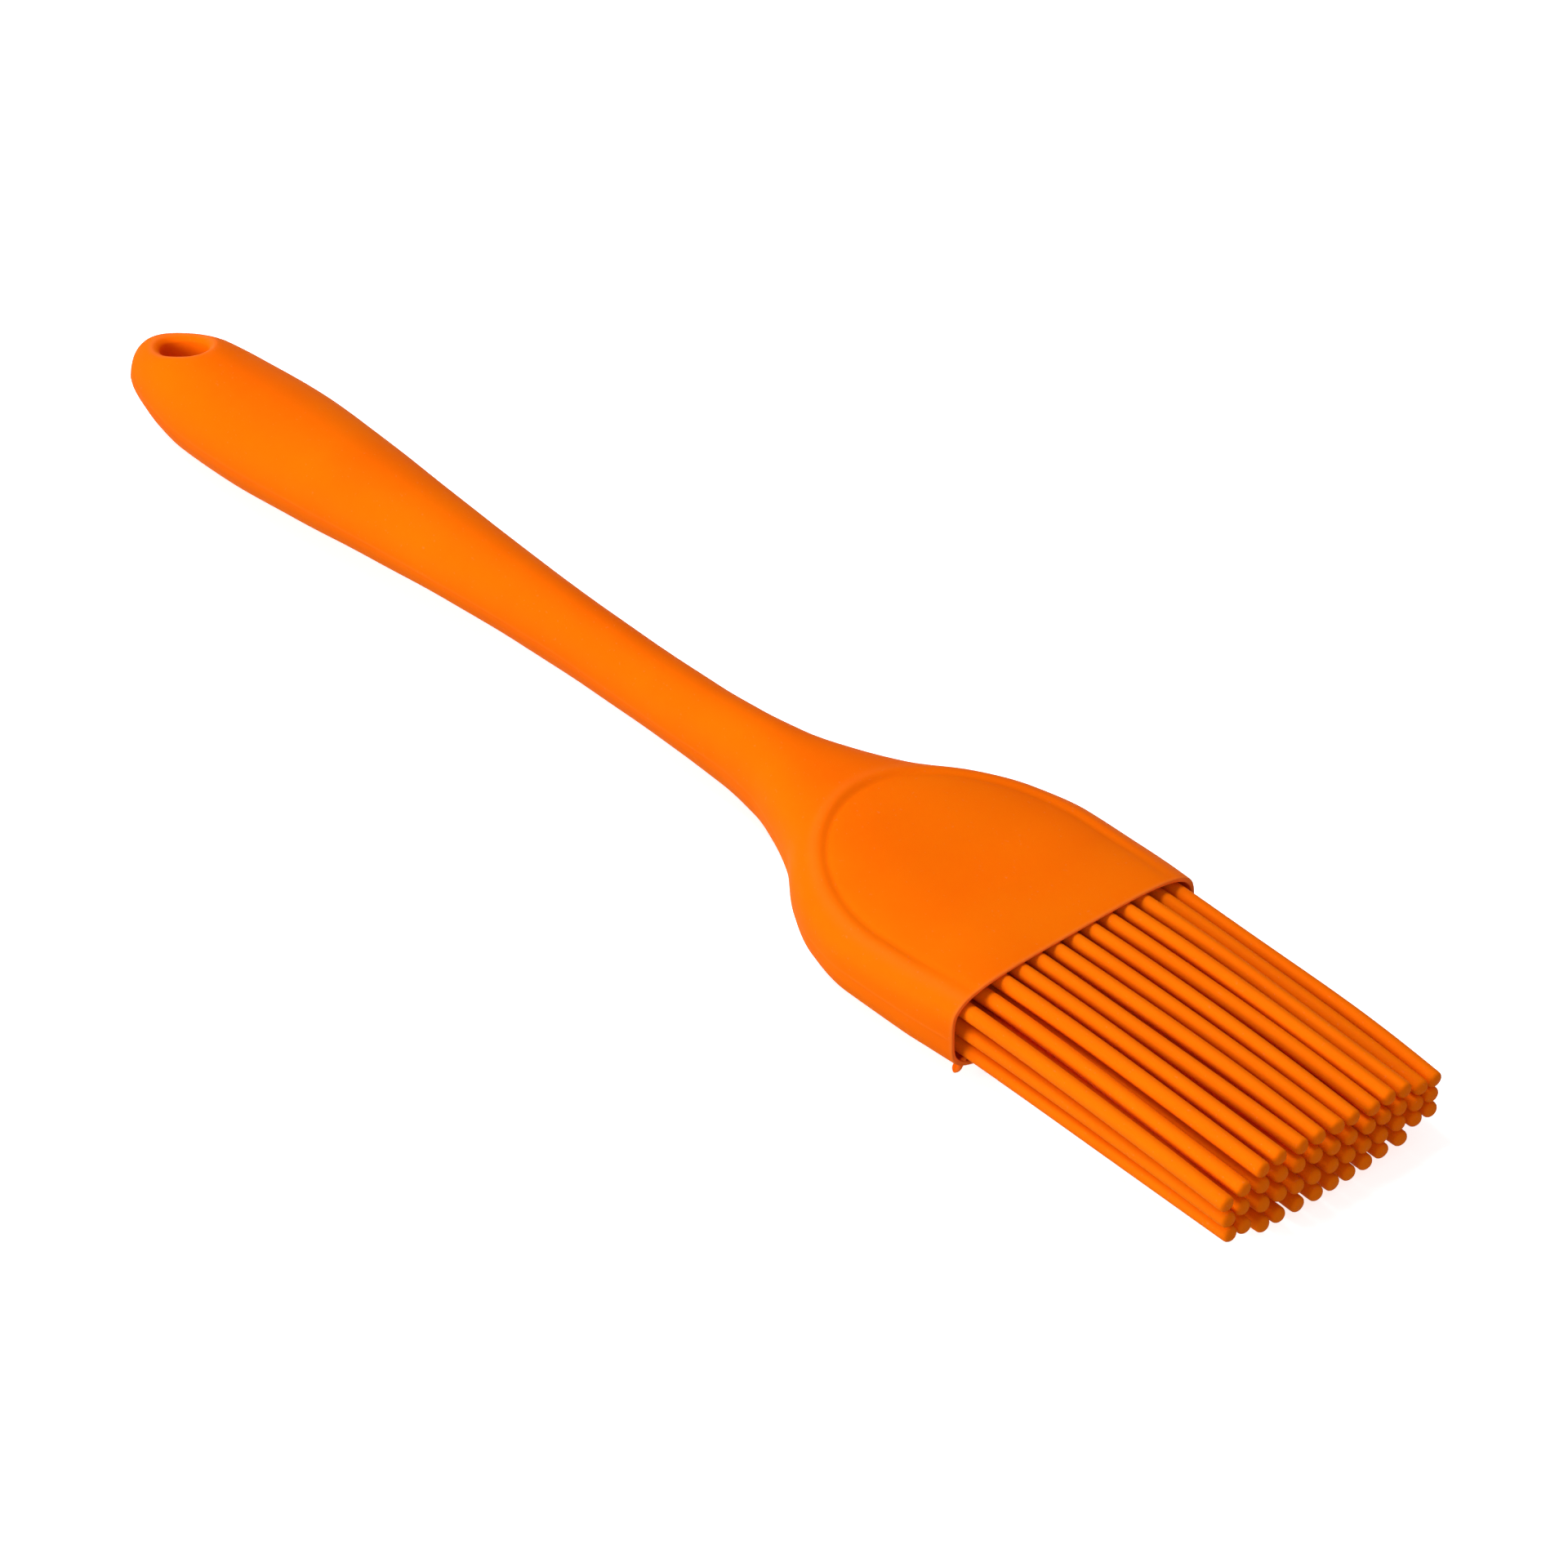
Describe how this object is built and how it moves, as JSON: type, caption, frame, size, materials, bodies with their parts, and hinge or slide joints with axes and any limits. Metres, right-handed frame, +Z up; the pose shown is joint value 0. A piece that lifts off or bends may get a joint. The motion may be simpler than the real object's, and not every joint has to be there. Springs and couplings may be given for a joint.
{
  "type": "pastry brush",
  "caption": "One-piece orange silicone pastry brush: slim rounded handle with a hanging hole, flared flat head with a sunk panel, and a wide tuft of round flexible bristles.",
  "frame": {"origin": "under the middle of the brush's length and width, on the surface it lies on", "axes": "+X from the handle end towards the bristle tips, +Y across the head, +Z up from the resting surface"},
  "size_m": [0.209, 0.0386, 0.0133],
  "materials": {
    "silicone_body": "matte orange silicone",
    "core_plastic": "natural glass-filled nylon, moulded in and hidden",
    "silicone_base": "matte orange silicone",
    "silicone_bristle": "matte orange silicone with a soft sheen"
  },
  "bodies": {
    "handle": {"silicone_body": "silicone_body", "stiffener_core": "core_plastic", "bristle_base": "silicone_base"},
    "bristle_row_1": {"bristle_c03_r1": "silicone_bristle", "bristle_c04_r1": "silicone_bristle", "bristle_c05_r1": "silicone_bristle", "bristle_c06_r1": "silicone_bristle", "bristle_c07_r1": "silicone_bristle", "bristle_c08_r1": "silicone_bristle", "bristle_c09_r1": "silicone_bristle", "bristle_c10_r1": "silicone_bristle", "bristle_c11_r1": "silicone_bristle"},
    "bristle_row_2": {"bristle_c01_r2": "silicone_bristle", "bristle_c02_r2": "silicone_bristle", "bristle_c12_r2": "silicone_bristle", "bristle_c13_r2": "silicone_bristle"},
    "bristle_row_3": {"bristle_c03_r3": "silicone_bristle", "bristle_c04_r3": "silicone_bristle", "bristle_c05_r3": "silicone_bristle", "bristle_c06_r3": "silicone_bristle", "bristle_c07_r3": "silicone_bristle", "bristle_c08_r3": "silicone_bristle", "bristle_c09_r3": "silicone_bristle", "bristle_c10_r3": "silicone_bristle", "bristle_c11_r3": "silicone_bristle"},
    "bristle_row_4": {"bristle_c01_r4": "silicone_bristle", "bristle_c02_r4": "silicone_bristle", "bristle_c12_r4": "silicone_bristle", "bristle_c13_r4": "silicone_bristle"},
    "bristle_row_5": {"bristle_c03_r5": "silicone_bristle", "bristle_c04_r5": "silicone_bristle", "bristle_c05_r5": "silicone_bristle", "bristle_c06_r5": "silicone_bristle", "bristle_c07_r5": "silicone_bristle", "bristle_c08_r5": "silicone_bristle", "bristle_c09_r5": "silicone_bristle", "bristle_c10_r5": "silicone_bristle", "bristle_c11_r5": "silicone_bristle"},
    "bristle_row_6": {"bristle_c01_r6": "silicone_bristle", "bristle_c02_r6": "silicone_bristle", "bristle_c12_r6": "silicone_bristle", "bristle_c13_r6": "silicone_bristle"},
    "bristle_row_7": {"bristle_c03_r7": "silicone_bristle", "bristle_c04_r7": "silicone_bristle", "bristle_c05_r7": "silicone_bristle", "bristle_c06_r7": "silicone_bristle", "bristle_c07_r7": "silicone_bristle", "bristle_c08_r7": "silicone_bristle", "bristle_c09_r7": "silicone_bristle", "bristle_c10_r7": "silicone_bristle", "bristle_c11_r7": "silicone_bristle"}
  },
  "joints": [
    {"name": "row_1_bend", "type": "hinge", "parent": "handle", "child": "bristle_row_1", "pos_m": [0.06312, 0, 0.01001], "axis": [0, 1, 0], "range_deg": [-30, 30], "stiffness_Nm_per_rad": 0.00405},
    {"name": "row_2_bend", "type": "hinge", "parent": "handle", "child": "bristle_row_2", "pos_m": [0.06312, 0, 0.00839], "axis": [0, 1, 0], "range_deg": [-30, 30], "stiffness_Nm_per_rad": 0.0018},
    {"name": "row_3_bend", "type": "hinge", "parent": "handle", "child": "bristle_row_3", "pos_m": [0.06312, 0, 0.00735], "axis": [0, 1, 0], "range_deg": [-30, 30], "stiffness_Nm_per_rad": 0.00405},
    {"name": "row_4_bend", "type": "hinge", "parent": "handle", "child": "bristle_row_4", "pos_m": [0.06312, 0, 0.00599], "axis": [0, 1, 0], "range_deg": [-30, 30], "stiffness_Nm_per_rad": 0.0018},
    {"name": "row_5_bend", "type": "hinge", "parent": "handle", "child": "bristle_row_5", "pos_m": [0.06312, 0, 0.00463], "axis": [0, 1, 0], "range_deg": [-30, 30], "stiffness_Nm_per_rad": 0.00405},
    {"name": "row_6_bend", "type": "hinge", "parent": "handle", "child": "bristle_row_6", "pos_m": [0.06312, 0, 0.00359], "axis": [0, 1, 0], "range_deg": [-30, 30], "stiffness_Nm_per_rad": 0.0018},
    {"name": "row_7_bend", "type": "hinge", "parent": "handle", "child": "bristle_row_7", "pos_m": [0.06312, 0, 0.00197], "axis": [0, 1, 0], "range_deg": [-30, 30], "stiffness_Nm_per_rad": 0.00405}
  ],
  "couplings": [
    {"joint": "row_2_bend", "follows": "row_1_bend", "ratio": 1},
    {"joint": "row_3_bend", "follows": "row_1_bend", "ratio": 1},
    {"joint": "row_4_bend", "follows": "row_1_bend", "ratio": 1},
    {"joint": "row_5_bend", "follows": "row_1_bend", "ratio": 1},
    {"joint": "row_6_bend", "follows": "row_1_bend", "ratio": 1},
    {"joint": "row_7_bend", "follows": "row_1_bend", "ratio": 1}
  ]
}
